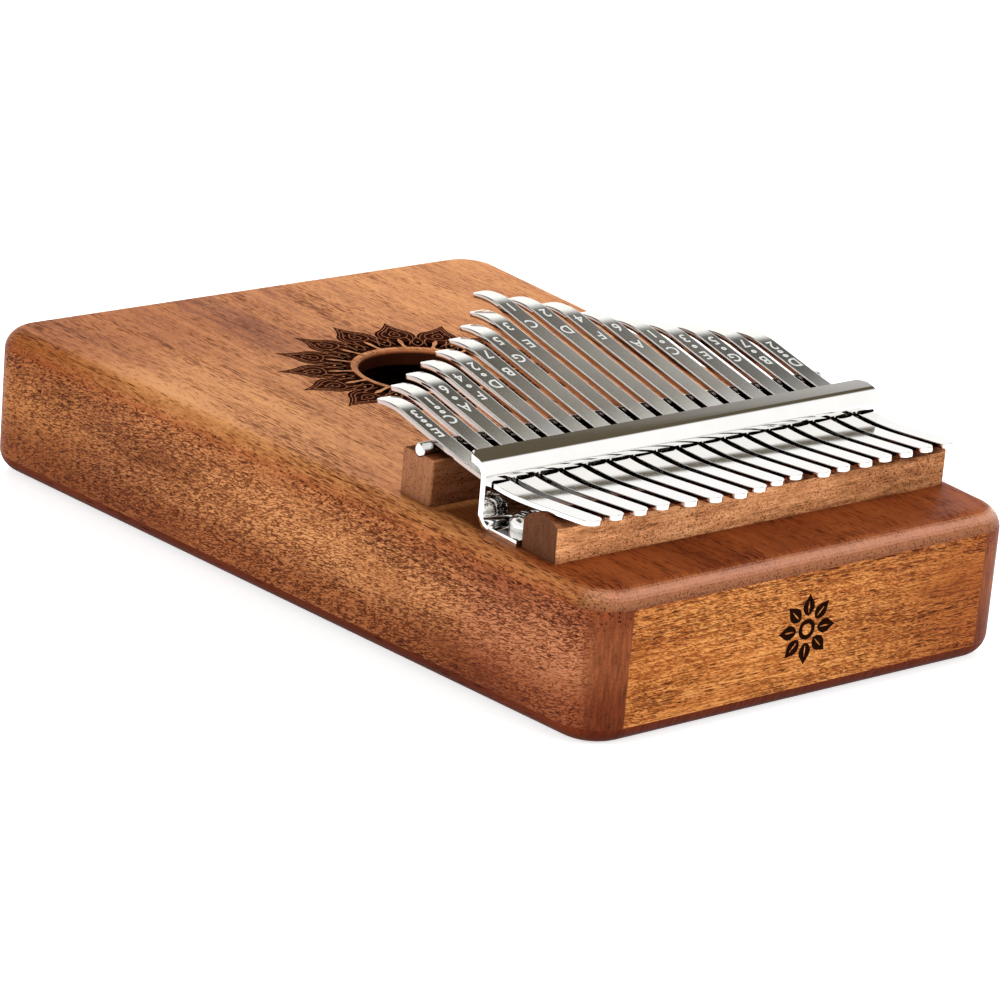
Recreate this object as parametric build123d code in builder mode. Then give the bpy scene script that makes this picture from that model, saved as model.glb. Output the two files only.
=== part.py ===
"""Seventeen-key box mbira (kalimba): a hollow, rounded wooden sound box that
tapers towards the head end, with spring-steel tines clamped across two
bridges by a bent steel pressure bracket.

Frame: millimetres. Origin at the centre of the bottom face. +X is the
player's right, +Y runs away from the player towards the head end (bridges),
+Z is up. The sound hole and the tine tips are at the -Y end.
"""
import math
import os

from build123d import *

# ------------------------------------------------------------------ sizes
# sound box
body_length = 185.0          # along Y
head_width = 107.8           # outside width at the head end (+Y)
player_width = 131.6         # outside width at the player's end (-Y)
body_height = 30.7
corner_radius = 9.4          # vertical corners, in plan
top_round = 4.6              # round-over of the top edge
bottom_round = 4.6           # round-over of the bottom edge
soundboard_thickness = 3.7
back_thickness = 3.6
wall_thickness = 8.4

# sound hole
hole_radius = 13.8
hole_y = -27.8
hole_edge_round = 0.5

# screws of the bracket
screw_xs = (-44.6, -22.4, 0.0, 22.4, 44.6)
screw_y = 60.0
screw_radius = 1.45
screw_clearance = 0.05
screw_head_radius = 3.65
screw_head_height = 3.0
screw_head_round = 2.1
screw_length = 12.0          # head included
recess_length = 3.6          # cross recess in the head
recess_width = 0.9
recess_depth = 1.4
recess_taper = 12            # degrees
recess_turn = 35             # degrees about Z

# inner cross brace that the bracket screws bite into
brace_width = 16.0           # along Y
brace_depth = 10.0
brace_chamfer = 2.0
brace_hole_floor = 1.5       # wood left under the screw holes

# player-side bridge block and the steel rod lying in its groove
saddle_y0, saddle_y1 = 30.1, 39.5
saddle_height = 9.4
saddle_half_length = 51.8
saddle_top_round = 0.6
saddle_corner_round = 0.5
rod_radius = 1.4
rod_y = 35.0
rod_rise = 10.15             # rod axis above the soundboard
rod_chamfer = 0.25
groove_clearance = 0.01

# head-side bridge, a bar with a domed top
rear_y0, rear_y1 = 64.7, 74.6
rear_half_length = 50.2
rear_shoulder_player = 5.6   # height of the side towards the player
rear_shoulder_head = 6.9     # height of the side towards the head
rear_top = 8.5               # height of the dome
rear_crown_y = 69.8
rear_corner_round = 0.4

# pressure bracket, bent from one strip of sheet
sheet = 1.4
bracket_half_length = 51.0
bracket_wall_y = 53.45       # middle of the upright wall
bracket_base_y1 = 64.3       # free edge of the base flange
bracket_lip_y = 48.3         # free edge of the top flange
bracket_top = 12.3           # middle of the sheet at the top bend, above the soundboard
lip_rise = 12.0              # degrees the top flange rises towards the player
lip_corner_round = 1.6
bend_radius = 2.0            # inside radius of both bends
slot_side = 0.3              # slot clearance beside each tine
slot_below = 0.4             # slot clearance below
slot_above = 0.75            # slot clearance above, for the stroke of the tine
slot_corner_round = 0.5

# tines, listed from the player's right
tine_count = 17
tine_pitch = 5.89
tine_width = 4.15
tine_thickness = 1.0
tine_gap = 0.02              # running gap over the rod and over the bridge
rear_extra_gap = 0.02        # added to tine_gap over the head-side bridge
free_slope = 0.228           # rise of the free end per mm towards the player
tail_slope = 0.08            # rise per mm where the upper and lower curves end
tip_arc = 9.0                # length over which the playing end turns down
tip_turn = 26.0              # degrees the playing end turns down
tip_corner_round = 1.3       # in plan
tip_steps = 8                # steps along the turned-down end
clamp_steps = 12             # steps from the rod to the tail
tine_tip_y = (17.2, 13.8, 11.0, 8.0, 5.2, 2.0, -1.8, -6.1, -12.5,
              -8.6, -4.8, 0.3, 4.4, 7.8, 10.2, 12.9, 15.3)
tine_tail_y = (82.0, 81.4, 81.4, 80.9, 82.1, 82.6, 83.0, 81.8, 80.3,
               79.2, 80.7, 79.9, 79.9, 79.2, 79.0, 78.5, 78.7)

# extents of the cutting shapes, all larger than what they cut
overrun = 1.0                # how far a cut starts or ends outside its piece
slab_size = (200, 240)       # X and Y of the slabs that slice the envelope
board_cut_height = 20
wall_cut_x, wall_cut_y = 90, 100
tine_cut_height = 40

# ------------------------------------------------------------- derived sizes
half_length = body_length / 2
top = body_height
under_board = body_height - soundboard_thickness
side_slope = (player_width - head_width) / 2 / body_length
wall_run = wall_thickness * math.hypot(1.0, side_slope)
screw_hole_radius = screw_radius + screw_clearance
screw_points = [(x, screw_y) for x in screw_xs]

# centre line of the clamped length: (y, height over the soundboard, slope)
clamp_line = (
    (rod_y,
     rod_rise + (rod_radius + tine_gap + tine_thickness / 2) * math.hypot(1, free_slope),
     -free_slope),
    (54.0, 8.78, -0.12),
    (60.0, 8.45, 0.0),
    (70.0, rear_top + tine_gap + tine_thickness / 2 + rear_extra_gap, 0.085),
    (84.0, 10.2, 0.07),
)


def side_x(y):
    """Outer half width of the box at y."""
    return head_width / 2 + side_slope * (half_length - y)


def inner_x(y):
    """Half width of the hollow at y."""
    return side_x(y) - wall_run


def tine_x(i):
    """Centre of tine i (0 = player's right-hand end)."""
    return ((tine_count - 1) / 2 - i) * tine_pitch


def clamp_height(y):
    """Height and slope of the tine centre line behind the rod (cubic Hermite)."""
    for (ya, za, slope_a), (yb, zb, slope_b) in zip(clamp_line, clamp_line[1:]):
        if y <= yb:
            span = yb - ya
            t = (y - ya) / span
            z = ((2 * t**3 - 3 * t**2 + 1) * za + (t**3 - 2 * t**2 + t) * span * slope_a
                 + (-2 * t**3 + 3 * t**2) * zb + (t**3 - t**2) * span * slope_b)
            slope = ((6 * t**2 - 6 * t) * za / span + (3 * t**2 - 4 * t + 1) * slope_a
                     + (-6 * t**2 + 6 * t) * zb / span + (3 * t**2 - 2 * t) * slope_b)
            return z, slope


def save(part, name):
    """Label the part and write its STEP file."""
    part.label = name
    export_step(part, f"parts/{name}.step")


# --------------------------------------------------------------- sound box
def make_envelope():
    """The outside shape of the box, solid."""
    with BuildPart() as envelope:
        with BuildSketch(Plane.XY):
            with BuildLine():
                Polyline(
                    (side_x(half_length), half_length),
                    (-side_x(half_length), half_length),
                    (-side_x(-half_length), -half_length),
                    (side_x(-half_length), -half_length),
                    close=True,
                )
            make_face()
        extrude(amount=body_height)
        fillet(envelope.edges().filter_by(Axis.Z), radius=corner_radius)
        fillet(envelope.faces().sort_by(Axis.Z)[-1].edges(), radius=top_round)
        fillet(envelope.faces().sort_by(Axis.Z)[0].edges(), radius=bottom_round)
    return envelope.part


def make_soundboard(envelope):
    """Top slice of the envelope, with the sound hole and the screw holes."""
    with BuildPart() as soundboard:
        add(envelope)
        with BuildSketch(Plane.XY.offset(under_board)):
            Rectangle(*slab_size)
        extrude(amount=board_cut_height, mode=Mode.INTERSECT)
        with BuildSketch(Plane.XY.offset(under_board)):
            with Locations((0, hole_y)):
                Circle(hole_radius)
        extrude(amount=board_cut_height, mode=Mode.SUBTRACT)
        fillet(soundboard.edges().filter_by(GeomType.CIRCLE)
               .filter_by(lambda e: abs(e.radius - hole_radius) < 0.01),
               radius=hole_edge_round)
        with BuildSketch(Plane.XY.offset(under_board)):
            with Locations(*screw_points):
                Circle(screw_hole_radius)
        extrude(amount=board_cut_height, mode=Mode.SUBTRACT)
    return soundboard.part


def make_back_board(envelope):
    """Bottom slice of the envelope."""
    with BuildPart() as back_board:
        add(envelope)
        with BuildSketch(Plane.XY.offset(-overrun)):
            Rectangle(*slab_size)
        extrude(amount=overrun + back_thickness, mode=Mode.INTERSECT)
    return back_board.part


def make_wall(envelope, outline):
    """The part of the envelope inside a plan outline, between the two boards."""
    with BuildPart() as wall:
        add(envelope)
        with BuildSketch(Plane.XY.offset(back_thickness)):
            with BuildLine():
                Polyline(*outline, close=True)
            make_face()
        extrude(amount=under_board - back_thickness, mode=Mode.INTERSECT)
    return wall.part


def side_outline(side):
    """Plan outline of a side wall; side is +1 for right (+X), -1 for left."""
    return (
        (side * inner_x(wall_cut_y), wall_cut_y),
        (side * wall_cut_x, wall_cut_y),
        (side * wall_cut_x, -wall_cut_y),
        (side * inner_x(-wall_cut_y), -wall_cut_y),
    )


def end_outline(end):
    """Plan outline of an end wall; end is +1 for the head, -1 for the player."""
    y_in = end * (half_length - wall_thickness)
    y_out = end * wall_cut_y
    return (
        (inner_x(y_in), y_in), (-inner_x(y_in), y_in),
        (-inner_x(y_out), y_out), (inner_x(y_out), y_out),
    )


def make_cross_brace():
    """Bar across the hollow, under the soundboard, with blind screw holes."""
    y0 = screw_y - brace_width / 2
    y1 = screw_y + brace_width / 2
    brace_bottom = under_board - brace_depth
    with BuildPart() as cross_brace:
        with BuildSketch(Plane.XY.offset(brace_bottom)):
            with BuildLine():
                Polyline(
                    (inner_x(y0), y0), (inner_x(y1), y1),
                    (-inner_x(y1), y1), (-inner_x(y0), y0),
                    close=True,
                )
            make_face()
        extrude(amount=brace_depth)
        chamfer(cross_brace.faces().sort_by(Axis.Z)[0].edges().filter_by(Axis.X),
                length=brace_chamfer)
        with BuildSketch(Plane.XY.offset(brace_bottom + brace_hole_floor)):
            with Locations(*screw_points):
                Circle(screw_hole_radius)
        extrude(amount=brace_depth, mode=Mode.SUBTRACT)
    return cross_brace.part


# ----------------------------------------------------------------- bridges
def make_saddle_block():
    """Player-side bridge block, grooved for the rod."""
    with BuildPart() as saddle_block:
        with BuildSketch(Plane.XY.offset(top)):
            with Locations((0, (saddle_y0 + saddle_y1) / 2)):
                Rectangle(2 * saddle_half_length, saddle_y1 - saddle_y0)
        extrude(amount=saddle_height)
        fillet(saddle_block.faces().sort_by(Axis.Z)[-1].edges(), radius=saddle_top_round)
        fillet(saddle_block.edges().filter_by(Axis.Z), radius=saddle_corner_round)
        with BuildSketch(Plane.YZ.offset(-saddle_half_length - overrun)):
            with Locations((rod_y, top + rod_rise)):
                Circle(rod_radius + groove_clearance)
        extrude(amount=2 * saddle_half_length + 2 * overrun, mode=Mode.SUBTRACT)
    return saddle_block.part


def make_saddle_rod():
    """Steel rod that the tines bear on."""
    with BuildPart() as saddle_rod:
        with BuildSketch(Plane.YZ.offset(-saddle_half_length)):
            with Locations((rod_y, top + rod_rise)):
                Circle(rod_radius)
        extrude(amount=2 * saddle_half_length)
        chamfer(saddle_rod.edges().filter_by(GeomType.CIRCLE), length=rod_chamfer)
    return saddle_rod.part


def make_rear_bridge():
    """Head-side bridge bar with a domed top."""
    player_shoulder = (rear_y0, top + rear_shoulder_player)
    head_shoulder = (rear_y1, top + rear_shoulder_head)
    with BuildPart() as rear_bridge:
        with BuildSketch(Plane.YZ.offset(-rear_half_length)):
            with BuildLine():
                Line((rear_y0, top), player_shoulder)
                ThreePointArc(player_shoulder, (rear_crown_y, top + rear_top), head_shoulder)
                Line(head_shoulder, (rear_y1, top))
                Line((rear_y1, top), (rear_y0, top))
            make_face()
        extrude(amount=2 * rear_half_length)
        fillet(rear_bridge.edges().filter_by(Axis.Z), radius=rear_corner_round)
    return rear_bridge.part


# --------------------------------------------------------- pressure bracket
def strip_side(strip, shift):
    """The middle line (y, z) moved sideways by shift, with sharp corners."""
    dirs = []
    for (ya, za), (yb, zb) in zip(strip, strip[1:]):
        length = math.hypot(yb - ya, zb - za)
        dirs.append(((yb - ya) / length, (zb - za) / length))

    def square_shift(point, direction):
        return (point[0] - direction[1] * shift, point[1] + direction[0] * shift)

    points = [square_shift(strip[0], dirs[0])]
    for corner, (ay, az), (by, bz) in zip(strip[1:], dirs, dirs[1:]):
        mitre = shift / (1 + ay * by + az * bz)
        points.append((corner[0] + (-az - bz) * mitre, corner[1] + (ay + by) * mitre))
    points.append(square_shift(strip[-1], dirs[-1]))
    return points


def near(vertex, point):
    """True when the sketch vertex lies on the point."""
    return math.hypot(vertex.X - point[0], vertex.Y - point[1]) < 0.01


def make_pressure_bracket():
    """Bent strip with a base flange, an upright slotted wall and a top lip."""
    lip_run = bracket_wall_y - bracket_lip_y
    # middle line of the sheet, before the bends are rounded
    strip = (
        (bracket_base_y1, top + sheet / 2),
        (bracket_wall_y, top + sheet / 2),
        (bracket_wall_y, top + bracket_top),
        (bracket_lip_y, top + bracket_top + lip_run * math.tan(math.radians(lip_rise))),
    )
    side_a = strip_side(strip, sheet / 2)
    side_b = strip_side(strip, -sheet / 2)
    # the base bends towards the head, the lip bends towards the player
    bends = (
        (side_b[1], bend_radius),
        (side_a[1], bend_radius + sheet),
        (side_a[2], bend_radius),
        (side_b[2], bend_radius + sheet),
    )

    wall_in = bracket_wall_y - sheet / 2      # face towards the player
    wall_out = bracket_wall_y + sheet / 2     # face towards the head
    tine_heights = (clamp_height(wall_in)[0], clamp_height(wall_out)[0])
    slot_low = min(tine_heights) - tine_thickness / 2 - slot_below
    slot_high = max(tine_heights) + tine_thickness / 2 + slot_above
    slot_z = top + (slot_low + slot_high) / 2

    with BuildPart() as bracket:
        with BuildSketch(Plane.YZ.offset(-bracket_half_length)) as section:
            with BuildLine():
                Polyline(*side_a, *reversed(side_b), close=True)
            make_face()
            for corner, radius in bends:
                fillet(section.vertices().filter_by(lambda v: near(v, corner)),
                       radius=radius)
        extrude(amount=2 * bracket_half_length)
        # rounded outer corners of the top flange
        lip_corners = (bracket.faces().sort_by(Axis.Y)[0].edges()
                       .filter_by(lambda e: abs(e.tangent_at(0.5).X) < 0.1))
        fillet(lip_corners, radius=lip_corner_round)
        # one slot for each tine
        with BuildSketch(Plane.XZ.offset(-(wall_in - overrun))):
            with Locations(*[(tine_x(i), slot_z) for i in range(tine_count)]):
                RectangleRounded(tine_width + 2 * slot_side, slot_high - slot_low,
                                 slot_corner_round)
        extrude(amount=-(sheet + 2 * overrun), mode=Mode.SUBTRACT)
        # screw holes in the base flange
        with BuildSketch(Plane.XY.offset(top - overrun)):
            with Locations(*screw_points):
                Circle(screw_hole_radius)
        extrude(amount=sheet + 2 * overrun, mode=Mode.SUBTRACT)
    return bracket.part


def make_bracket_screws():
    """The row of round-headed screws, with cross recesses."""
    head_z = top + sheet
    with BuildPart() as screws:
        with BuildSketch(Plane.XY.offset(head_z)):
            with Locations(*screw_points):
                Circle(screw_head_radius)
        extrude(amount=screw_head_height)
        fillet(screws.edges().group_by(Axis.Z)[-1], radius=screw_head_round)
        with BuildSketch(Plane.XY.offset(head_z)):
            with Locations(*screw_points):
                Circle(screw_radius)
        extrude(amount=-screw_length + screw_head_height)
        with BuildSketch(Plane.XY.offset(head_z + screw_head_height)):
            for x in screw_xs:
                with Locations(Location((x, screw_y, 0), (0, 0, recess_turn))):
                    Rectangle(recess_length, recess_width)
                    Rectangle(recess_width, recess_length)
        extrude(amount=-recess_depth, taper=recess_taper, mode=Mode.SUBTRACT)
    return screws.part


# -------------------------------------------------------------------- tines
def tine_line(tip_y, tail_y):
    """Points (y, z, angle) down the middle of a tine, tip first."""
    up = math.atan(free_slope)
    turn = math.radians(tip_turn)
    radius = tip_arc / turn
    # the straight free length ends where the turned-down end begins
    start_y = tip_y + radius * (math.sin(up) - math.sin(up - turn))
    rod_z = clamp_line[0][1]
    start_z = rod_z + (rod_y - start_y) * free_slope
    points = []
    for k in range(tip_steps + 1):
        angle = up - turn * (1 - k / tip_steps)
        y = start_y - radius * (math.sin(up) - math.sin(angle))
        z = start_z + radius * (math.cos(angle) - math.cos(up))
        points.append((y, z, -angle))
    points.append((rod_y, rod_z, -up))
    for k in range(1, clamp_steps + 1):
        y = rod_y + (tail_y - rod_y) * k / clamp_steps
        z, slope = clamp_height(y)
        points.append((y, z, math.atan(slope)))
    return points


def tine_surface(centre, shift):
    """The centre line moved square to itself by shift, as (y, z) in the frame."""
    return [(y - shift * math.sin(angle), top + z + shift * math.cos(angle))
            for y, z, angle in centre]


def make_tine(x, tip_y, tail_y):
    """One tine: its side profile, trimmed to its plan outline."""
    centre = tine_line(tip_y, tail_y)
    upper = tine_surface(centre, tine_thickness / 2)
    lower = tine_surface(centre, -tine_thickness / 2)
    bend = tip_steps         # index of the point where the tip starts to turn
    rod = bend + 1           # index of the point over the rod
    end_tangents = ((1, -free_slope), (1, tail_slope))

    half = tine_width / 2
    left, right = x - half, x + half
    tip = min(upper[0][0], lower[0][0])
    tail = max(upper[-1][0], lower[-1][0])
    tip_side_y = tip + tip_corner_round
    tail_side_y = tail - half
    # inset of a tip corner arc's middle point from both sides of the corner
    inset = tip_corner_round * (1 - math.cos(math.pi / 4))

    with BuildPart() as tine:
        with BuildSketch(Plane.YZ.offset(left)):
            with BuildLine():
                Spline(*upper[:rod])
                Line(upper[bend], upper[rod])
                Spline(*upper[rod:], tangents=end_tangents)
                Line(upper[-1], lower[-1])
                Spline(*lower[rod:], tangents=end_tangents)
                Line(lower[bend], lower[rod])
                Spline(*lower[:rod])
                Line(lower[0], upper[0])
            make_face()
        extrude(amount=tine_width)
        # plan outline: round tail, softly cornered tip
        with BuildSketch(Plane.XY.offset(top)):
            with BuildLine():
                Line((left, tip_side_y), (left, tail_side_y))
                ThreePointArc((left, tail_side_y), (x, tail), (right, tail_side_y))
                Line((right, tail_side_y), (right, tip_side_y))
                ThreePointArc((right, tip_side_y), (right - inset, tip + inset),
                              (right - tip_corner_round, tip))
                Line((right - tip_corner_round, tip), (left + tip_corner_round, tip))
                ThreePointArc((left + tip_corner_round, tip), (left + inset, tip + inset),
                              (left, tip_side_y))
            make_face()
        extrude(amount=tine_cut_height, mode=Mode.INTERSECT)
    return tine.part


# -------------------------------------------------------------------- build
os.makedirs("parts", exist_ok=True)

envelope_part = make_envelope()
save(make_soundboard(envelope_part), "soundboard")
save(make_back_board(envelope_part), "back_board")
save(make_wall(envelope_part, side_outline(1)), "side_wall_right")
save(make_wall(envelope_part, side_outline(-1)), "side_wall_left")
save(make_wall(envelope_part, end_outline(1)), "head_wall")
save(make_wall(envelope_part, end_outline(-1)), "tail_wall")
save(make_cross_brace(), "cross_brace")
save(make_saddle_block(), "saddle_block")
save(make_saddle_rod(), "saddle_rod")
save(make_rear_bridge(), "rear_bridge")
save(make_pressure_bracket(), "pressure_bracket")
save(make_bracket_screws(), "bracket_screws")
for i, (tip_y, tail_y) in enumerate(zip(tine_tip_y, tine_tail_y)):
    save(make_tine(tine_x(i), tip_y, tail_y), f"tine_{i + 1:02d}")
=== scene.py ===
"""A seventeen-tine box mbira: mahogany box, steel tines with engraved notes,
burnt rosette round the sound hole and a burnt emblem on the head wall, on a
white floor.

X runs across the tines, Y along them from the tail wall (-Y) to the head wall
(+Y), Z is up. Sizes are millimetres, turned into metres with MM.
"""
import functools
import math

import bmesh
import bpy
from mathutils import Matrix, Vector


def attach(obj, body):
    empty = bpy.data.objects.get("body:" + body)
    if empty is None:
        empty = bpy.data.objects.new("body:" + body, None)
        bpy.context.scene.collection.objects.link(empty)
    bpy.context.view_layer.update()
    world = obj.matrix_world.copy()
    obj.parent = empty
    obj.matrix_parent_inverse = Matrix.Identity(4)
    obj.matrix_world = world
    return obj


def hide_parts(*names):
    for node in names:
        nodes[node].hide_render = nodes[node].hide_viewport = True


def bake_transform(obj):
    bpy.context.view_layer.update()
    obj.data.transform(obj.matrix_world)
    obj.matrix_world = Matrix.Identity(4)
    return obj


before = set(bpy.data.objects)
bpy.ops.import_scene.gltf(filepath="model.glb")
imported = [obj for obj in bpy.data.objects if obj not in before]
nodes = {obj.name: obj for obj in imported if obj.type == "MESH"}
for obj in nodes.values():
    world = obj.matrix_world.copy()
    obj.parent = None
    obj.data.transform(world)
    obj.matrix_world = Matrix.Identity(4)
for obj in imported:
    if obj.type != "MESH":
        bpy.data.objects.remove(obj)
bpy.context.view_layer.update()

MM = 0.001

# ------------------------------------------------------------------- sizes
TOP = 30.7                      # z of the soundboard's upper face
HOLE_Y = -27.8                  # centre of the sound hole
HEAD_Y = 92.5                   # outer face of the head wall
ROD_Y, ROD_RISE, ROD_RADIUS = 35.0, 10.15, 1.4
PITCH, WIDTH, THICK = 5.89, 4.15, 1.0   # the tines
HALF = WIDTH / 2
GAP = 0.02                      # clearance between a tine and what it rests on
SLOPE = 0.228                   # rise of the playing length towards the tip
TIP_ARC = 9.0                   # length of the curved tip
TIP_TURN = math.radians(26.0)   # how far the tip curves down
REAR_TOP = 8.5                  # rear bridge above the soundboard

# each tine: tip y, tail y, painted brightness of its flat (standing in for reflected light),
# number, octave dots, letter
TINES = (
    (17.2, 82.0, 1.14, "3", 2, "E"),
    (13.8, 81.4, 1.16, "1", 2, "C"),
    (11.0, 81.4, 1.10, "6", 1, "A"),
    (8.0, 80.9, 1.22, "4", 1, "F"),
    (5.2, 82.1, 1.55, "2", 1, "D"),
    (2.0, 82.6, 1.18, "7", 0, "B"),
    (-1.8, 83.0, 1.34, "5", 0, "G"),
    (-6.1, 81.8, 1.12, "3", 0, "E"),
    (-12.5, 80.3, 1.20, "1", 0, "C"),
    (-8.6, 79.2, 1.24, "2", 0, "D"),
    (-4.8, 80.7, 1.18, "4", 0, "F"),
    (0.3, 79.9, 1.42, "6", 0, "A"),
    (4.4, 79.9, 1.12, "1", 1, "C"),
    (7.8, 79.2, 0.84, "3", 1, "E"),
    (10.2, 79.0, 0.64, "5", 1, "G"),
    (12.9, 78.5, 0.54, "7", 1, "B"),
    (15.3, 78.7, 0.48, "2", 2, "D"),
)

# middle of a tine from the rod back: y, height above the soundboard, slope
CLAMP = (
    (ROD_Y, ROD_RISE + (ROD_RADIUS + GAP + THICK / 2) * math.hypot(1, SLOPE), -SLOPE),
    (54.0, 8.78, -0.12),
    (60.0, 8.45, 0.0),
    (70.0, REAR_TOP + GAP + THICK / 2 + 0.02, 0.085),
    (84.0, 10.2, 0.07),
)


def tine_x(i):
    return (8 - i) * PITCH


# ------------------------------------------------------------ shader nodes
class Value:
    """A shader output. Arithmetic on it adds Math nodes to its tree."""

    def __init__(self, net, socket):
        self.net = net
        self.socket = socket

    def __add__(self, other):
        return self.net.math("ADD", self, other)

    def __radd__(self, other):
        return self.net.math("ADD", other, self)

    def __sub__(self, other):
        return self.net.math("SUBTRACT", self, other)

    def __rsub__(self, other):
        return self.net.math("SUBTRACT", other, self)

    def __mul__(self, other):
        return self.net.math("MULTIPLY", self, other)

    def __truediv__(self, other):
        return self.net.math("DIVIDE", self, other)

    def __pow__(self, other):
        return self.net.math("POWER", self, other)

    def __abs__(self):
        return self.net.math("ABSOLUTE", self)

    def sqrt(self):
        return self.net.math("SQRT", self)

    def max(self, other):
        return self.net.math("MAXIMUM", self, other)

    def min(self, other):
        return self.net.math("MINIMUM", self, other)

    def times_plus(self, factor, offset):
        return self.net.math("MULTIPLY_ADD", self, factor, offset)

    def fade(self, start, end, low=0.0, high=1.0):
        """Runs smoothly from low at start to high at end."""
        return self.net.map_range(self, start, end, low, high, "SMOOTHSTEP")

    def fade_mm(self, start, end, low=0.0, high=1.0):
        """The same for a coordinate, with start and end in millimetres."""
        return self.fade(start * MM, end * MM, low, high)

    def linear(self, start, end, low=0.0, high=1.0):
        """Runs straight from low at start to high at end."""
        return self.net.map_range(self, start, end, low, high, "LINEAR")

    def other(self, output):
        """Another output of the same node."""
        return Value(self.net, self.socket.node.outputs[output])


class Net:
    """A node tree being filled, starting from its output node."""

    def __init__(self, tree, output_kind):
        self.tree = tree
        tree.nodes.clear()
        self.output = tree.nodes.new(output_kind)

    def put(self, socket, value):
        if isinstance(value, Value):
            self.tree.links.new(value.socket, socket)
        else:
            socket.default_value = value

    def add(self, kind, output, inputs=None, **settings):
        node = self.tree.nodes.new(kind)
        for key, value in settings.items():
            setattr(node, key, value)
        for key, value in (inputs or {}).items():
            self.put(node.inputs[key], value)
        return Value(self, node.outputs[output])

    def math(self, operation, a, b=0.0, c=0.0):
        return self.add("ShaderNodeMath", 0, {0: a, 1: b, 2: c}, operation=operation)

    def map_range(self, value, start, end, low, high, interpolation):
        return self.add("ShaderNodeMapRange", "Result",
                        {"Value": value, "From Min": start, "From Max": end,
                         "To Min": low, "To Max": high},
                        interpolation_type=interpolation)

    def noise(self, vector, scale=1.0, detail=2.0, rough=0.5, distort=0.0):
        return self.add("ShaderNodeTexNoise", "Fac",
                        {"Vector": vector, "Scale": scale, "Detail": detail,
                         "Roughness": rough, "Distortion": distort})

    def voronoi(self, vector, feature="F1"):
        """Distance output of a cell pattern."""
        return self.add("ShaderNodeTexVoronoi", "Distance",
                        {"Vector": vector, "Scale": 1.0}, feature=feature)

    def split(self, vector):
        x = self.add("ShaderNodeSeparateXYZ", 0, {0: vector})
        return x, x.other(1), x.other(2)

    def join(self, x, y, z):
        return self.add("ShaderNodeCombineXYZ", 0, {0: x, 1: y, 2: z})

    def mix(self, factor, a, b, blend="MIX"):
        """Mixes colours, each a Value or an (r, g, b) tuple."""
        a, b = ((*c, 1) if isinstance(c, tuple) else c for c in (a, b))
        return self.add("ShaderNodeMix", 2, {0: factor, 6: a, 7: b},
                        data_type="RGBA", blend_type=blend)

    def multiply(self, a, b):
        return self.mix(1.0, a, b, "MULTIPLY")

    def mix_float(self, factor, a, b):
        return self.add("ShaderNodeMix", 0, {0: factor, 2: a, 3: b}, data_type="FLOAT")

    def ramp(self, factor, stops):
        """Colour ramp from (position, (r, g, b)) stops."""
        color = self.add("ShaderNodeValToRGB", 0, {0: factor})
        elements = color.socket.node.color_ramp.elements
        while len(elements) < len(stops):
            elements.new(0.5)
        for element, (position, rgb) in zip(elements, stops):
            element.position = position
            element.color = (*rgb, 1)
        return color

    def bump(self, height, depth_mm, strength):
        return self.add("ShaderNodeBump", 0, {"Strength": strength, "Distance": depth_mm * MM,
                                              "Height": height})

    def normal(self):
        """The three parts of the face normal."""
        return self.split(self.add("ShaderNodeNewGeometry", "True Normal"))

    def attribute(self, name):
        return self.add("ShaderNodeAttribute", "Fac", attribute_name=name)

    def occlusion(self, distance):
        return self.add("ShaderNodeAmbientOcclusion", "AO", {"Distance": distance}, samples=4)


class MaterialNet(Net):
    def __init__(self, name):
        self.material = bpy.data.materials.new(name)
        self.material.use_nodes = True
        super().__init__(self.material.node_tree, "ShaderNodeOutputMaterial")
        self.coord = self.add("ShaderNodeTexCoord", "Object")

    def surface(self, color, rough, metallic=0.0, normal=None, **inputs):
        """Ends the net in a Principled shader and returns the material."""
        inputs.update({"Base Color": color, "Roughness": rough, "Metallic": metallic})
        if normal is not None:
            inputs["Normal"] = normal
        shader = self.add("ShaderNodeBsdfPrincipled", 0, inputs)
        self.put(self.output.inputs["Surface"], shader)
        return self.material


# -------------------------------------------------------------------- wood
def srgb(*color):
    """8-bit display colour to linear."""
    def linear(c):
        c /= 255
        return c / 12.92 if c <= 0.04045 else ((c + 0.055) / 1.055) ** 2.4
    return tuple(linear(c) for c in color)


def grain_coords(net, along, shift=(0, 0, 0)):
    """Coordinates in mm, turned so that the first runs with the grain, and
    wandering gently sideways as real grain does."""
    mm = [v.times_plus(1000.0, s) for v, s in zip(net.split(net.coord), shift)]
    a, b, c = (mm[i] for i in {"X": (0, 1, 2), "Y": (1, 0, 2)}[along])
    wander = net.noise(net.join(a * 0.011, b * 0.03, c * 0.03), detail=1.5) - 0.5
    return a, wander.times_plus(6.4, b), wander.times_plus(4.0, c)


def stretched(net, grain, along, across, depth=None):
    """Grain coordinates scaled: features per mm along and across the grain."""
    a, b, c = grain
    return net.join(a * along, b * across, c * (across if depth is None else depth))


def curl_tone(net, grain):
    """Broad swaying figure."""
    a, b, c = grain
    sway = net.join(b.times_plus(0.22, a * 0.30), b * 0.16, c * 0.22)
    return net.noise(sway, detail=2.5, rough=0.6, distort=0.8) - 0.5


def wrinkle_tone(net, grain, amount):
    """Fine slanting ripple where the grain interlocks, strong only in places."""
    a, b, c = grain
    slanted = net.join(a * 0.46 + c * 0.16, c * 1.95 - a * 0.56, b * 0.8)
    lines = net.noise(slanted, detail=1.5, distort=0.5)
    lines = abs(lines - 0.5).fade(0.0, 0.10)
    where = net.noise(stretched(net, grain, 0.03, 0.09), detail=1.0)
    where = where.fade(0.30, 0.58, low=0.25, high=1.0)
    return (lines - 0.60) * (where * amount)


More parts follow.
